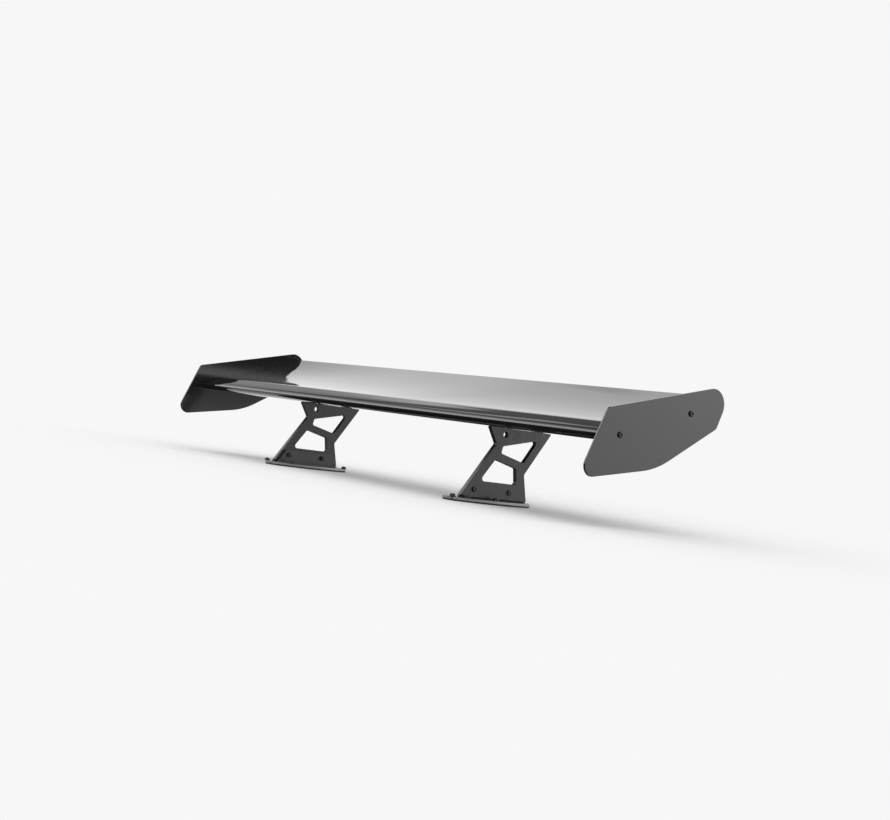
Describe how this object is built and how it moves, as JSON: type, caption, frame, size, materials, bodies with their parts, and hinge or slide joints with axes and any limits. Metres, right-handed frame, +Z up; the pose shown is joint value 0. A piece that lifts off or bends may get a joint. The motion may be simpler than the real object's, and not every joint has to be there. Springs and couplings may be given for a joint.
{
  "type": "racing rear wing",
  "caption": "Inverted aerofoil rear wing with flat end plates on windowed hourglass uprights and bolt-down base brackets; slotted lugs set the blade's tilt.",
  "frame": {"origin": "middle of the whole part, on the plane of the base gaskets' undersides", "axes": "+X towards the left end plate, -Y towards the leading edge, +Z up, square to the base gaskets"},
  "size_m": [1.4066, 0.3389, 0.2718],
  "materials": {
    "gloss_black": "clear-coated black composite",
    "satin_grey": "satin dark grey sheet",
    "anodised_dark": "dark anodised plate",
    "anodised_grey": "grey anodised plate, machined rim",
    "black_oxide": "black oxide steel",
    "zinc_steel": "bright zinc-plated steel",
    "raw_aluminium": "bare aluminium",
    "resin": "cast resin",
    "black_rubber": "matt black rubber"
  },
  "bodies": {
    "supports": {"upright_left": "anodised_dark", "upright_right": "anodised_dark", "base_bracket_left": "anodised_grey", "base_bracket_right": "anodised_grey", "base_gasket_left": "black_rubber", "base_gasket_right": "black_rubber", "foot_strip_left": "black_rubber", "foot_strip_right": "black_rubber", "base_bolt_1_left": "black_oxide", "base_bolt_1_right": "black_oxide", "base_bolt_2_left": "black_oxide", "base_bolt_2_right": "black_oxide", "base_bolt_3_left": "black_oxide", "base_bolt_3_right": "black_oxide", "base_bolt_4_left": "black_oxide", "base_bolt_4_right": "black_oxide", "base_bolt_5_left": "black_oxide", "base_bolt_5_right": "black_oxide", "side_bolt_front_left": "black_oxide", "side_bolt_front_right": "black_oxide", "side_nut_front_left": "black_oxide", "side_nut_front_right": "black_oxide", "side_bolt_rear_left": "black_oxide", "side_bolt_rear_right": "black_oxide", "side_nut_rear_left": "black_oxide", "side_nut_rear_right": "black_oxide"},
    "wing": {"blade_skin": "gloss_black", "spar_tube": "raw_aluminium", "end_rib_left": "raw_aluminium", "end_rib_right": "raw_aluminium", "mount_block_left": "resin", "mount_block_right": "resin", "end_plate_left": "satin_grey", "end_plate_right": "satin_grey", "end_screw_front_left": "black_oxide", "end_screw_front_right": "black_oxide", "end_screw_rear_left": "black_oxide", "end_screw_rear_right": "black_oxide", "blade_lug_left": "anodised_dark", "blade_lug_right": "anodised_dark", "lug_screw_1_left": "black_oxide", "lug_screw_1_right": "black_oxide", "lug_screw_2_left": "black_oxide", "lug_screw_2_right": "black_oxide", "lug_screw_3_left": "black_oxide", "lug_screw_3_right": "black_oxide", "pivot_bolt_left": "black_oxide", "pivot_bolt_right": "black_oxide", "pivot_nut_left": "zinc_steel", "pivot_nut_right": "zinc_steel", "clamp_bolt_left": "black_oxide", "clamp_bolt_right": "black_oxide", "clamp_nut_left": "zinc_steel", "clamp_nut_right": "zinc_steel", "clamp_washer_left": "zinc_steel", "clamp_washer_right": "zinc_steel"}
  },
  "joints": [
    {"name": "blade_tilt", "type": "hinge", "parent": "supports", "child": "wing", "pos_m": [0, -0.01819, 0.1562], "axis": [1, 0, 0], "range_deg": [-8, 0]}
  ]
}
